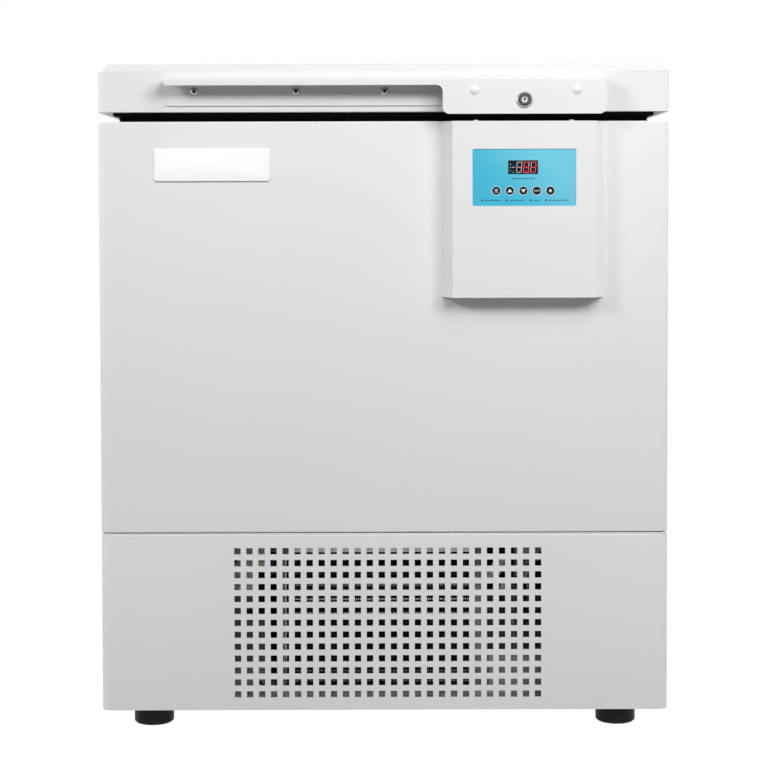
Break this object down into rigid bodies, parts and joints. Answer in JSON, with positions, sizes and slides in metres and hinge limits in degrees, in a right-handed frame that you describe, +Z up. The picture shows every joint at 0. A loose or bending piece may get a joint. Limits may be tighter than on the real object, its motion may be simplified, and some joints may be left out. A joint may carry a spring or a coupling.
{
  "type": "ultra low temperature freezer",
  "caption": "Small white chest freezer for laboratory samples, with a hinged insulated lid, lock, control panel and punched ventilation grille.",
  "frame": {"origin": "on the floor under the middle of the whole object, handle and hinges included", "axes": "+Z up, +X to the right of someone who faces the freezer, the front faces -Y"},
  "size_m": [0.7086, 0.6842, 0.8312],
  "materials": {
    "white_steel": "satin",
    "stainless": "satin",
    "galvanised": "satin",
    "foam": "matte",
    "white_plastic": "satin",
    "grey_plastic": "satin",
    "black_plastic": "satin",
    "key_black": "gloss",
    "overlay_blue": "gloss",
    "display_navy": "gloss",
    "board_green": "satin",
    "black_rubber": "matte",
    "chrome": "polished",
    "steel": "satin",
    "black_steel": "satin",
    "fin_aluminium": "satin",
    "copper": "polished"
  },
  "bodies": {
    "cabinet": {"upper_wrapper": "white_steel", "rear_panel": "white_steel", "chest_deck": "galvanised", "inner_liner": "stainless", "breaker_frame": "white_plastic", "evaporator_coil": "copper", "cabinet_foam": "foam", "temperature_probe": "steel", "control_housing": "white_steel", "housing_brackets": "galvanised", "display_overlay": "overlay_blue", "display_carrier": "black_plastic", "control_board": "board_green", "led_display": "display_navy", "key_switches": "black_plastic", "base_pan": "galvanised", "rubber_feet": "black_rubber", "corner_posts": "galvanised", "lower_front_cover": "white_steel", "rear_vent_panel": "white_steel", "lower_side_panels": "white_steel", "condenser_fins": "fin_aluminium", "condenser_tube": "copper", "condenser_side_plates": "galvanised", "fan_shroud": "galvanised", "fan_motor": "steel", "fan_strap": "galvanised", "compressors": "black_steel", "compressor_grommets": "black_rubber", "heat_exchanger": "stainless", "expansion_tank": "black_steel", "electrical_box": "galvanised", "filter_dryer": "copper", "liquid_lines": "copper", "discharge_line": "copper", "suction_line": "copper", "pipe_guard": "galvanised", "power_inlet": "black_plastic", "switch_frame": "black_plastic", "cabinet_hinge_leaves": "steel", "hinge_pins": "steel"},
    "lid": {"lid_shell": "white_steel", "lid_inner_pan": "white_plastic", "lid_foam": "foam", "lid_gasket": "black_rubber", "handle_bracket": "white_steel", "handle_screws": "steel", "screw_caps": "white_plastic", "lock_barrel": "chrome", "lock_nut": "steel", "lid_hinge_leaves": "steel"},
    "lock_cylinder": {"lock_plug": "steel", "lock_cam": "steel"},
    "fan": {"fan_rotor": "black_plastic"},
    "rocker": {"power_rocker": "key_black"},
    "button_1": {"key_1": "key_black"},
    "button_2": {"key_2": "key_black"},
    "button_3": {"key_3": "key_black"},
    "button_4": {"key_4": "key_black"},
    "button_5": {"key_5": "key_black"}
  },
  "joints": [
    {"name": "lid_hinge", "type": "hinge", "parent": "cabinet", "child": "lid", "pos_m": [0, 0.3345, 0.7658], "axis": [-1, 0, 0], "range_deg": [0, 85]},
    {"name": "lock_turn", "type": "hinge", "parent": "lid", "child": "lock_cylinder", "pos_m": [0.1725, -0.34, 0.7845], "axis": [0, 1, 0], "range_deg": [0, 90]},
    {"name": "fan_spin", "type": "hinge", "parent": "cabinet", "child": "fan", "pos_m": [-0.003, -0.16, 0.118], "axis": [0, 1, 0], "continuous": true},
    {"name": "rocker_tilt", "type": "hinge", "parent": "cabinet", "child": "rocker", "pos_m": [-0.26025, 0.3235, 0.1105], "axis": [1, 0, 0], "range_deg": [0, 16]},
    {"name": "key_1_press", "type": "slide", "parent": "cabinet", "child": "button_1", "axis": [0, 1, 0], "range_m": [0, 0.0006], "stiffness_N_per_m": 1500},
    {"name": "key_2_press", "type": "slide", "parent": "cabinet", "child": "button_2", "axis": [0, 1, 0], "range_m": [0, 0.0006], "stiffness_N_per_m": 1500},
    {"name": "key_3_press", "type": "slide", "parent": "cabinet", "child": "button_3", "axis": [0, 1, 0], "range_m": [0, 0.0006], "stiffness_N_per_m": 1500},
    {"name": "key_4_press", "type": "slide", "parent": "cabinet", "child": "button_4", "axis": [0, 1, 0], "range_m": [0, 0.0006], "stiffness_N_per_m": 1500},
    {"name": "key_5_press", "type": "slide", "parent": "cabinet", "child": "button_5", "axis": [0, 1, 0], "range_m": [0, 0.0006], "stiffness_N_per_m": 1500}
  ]
}
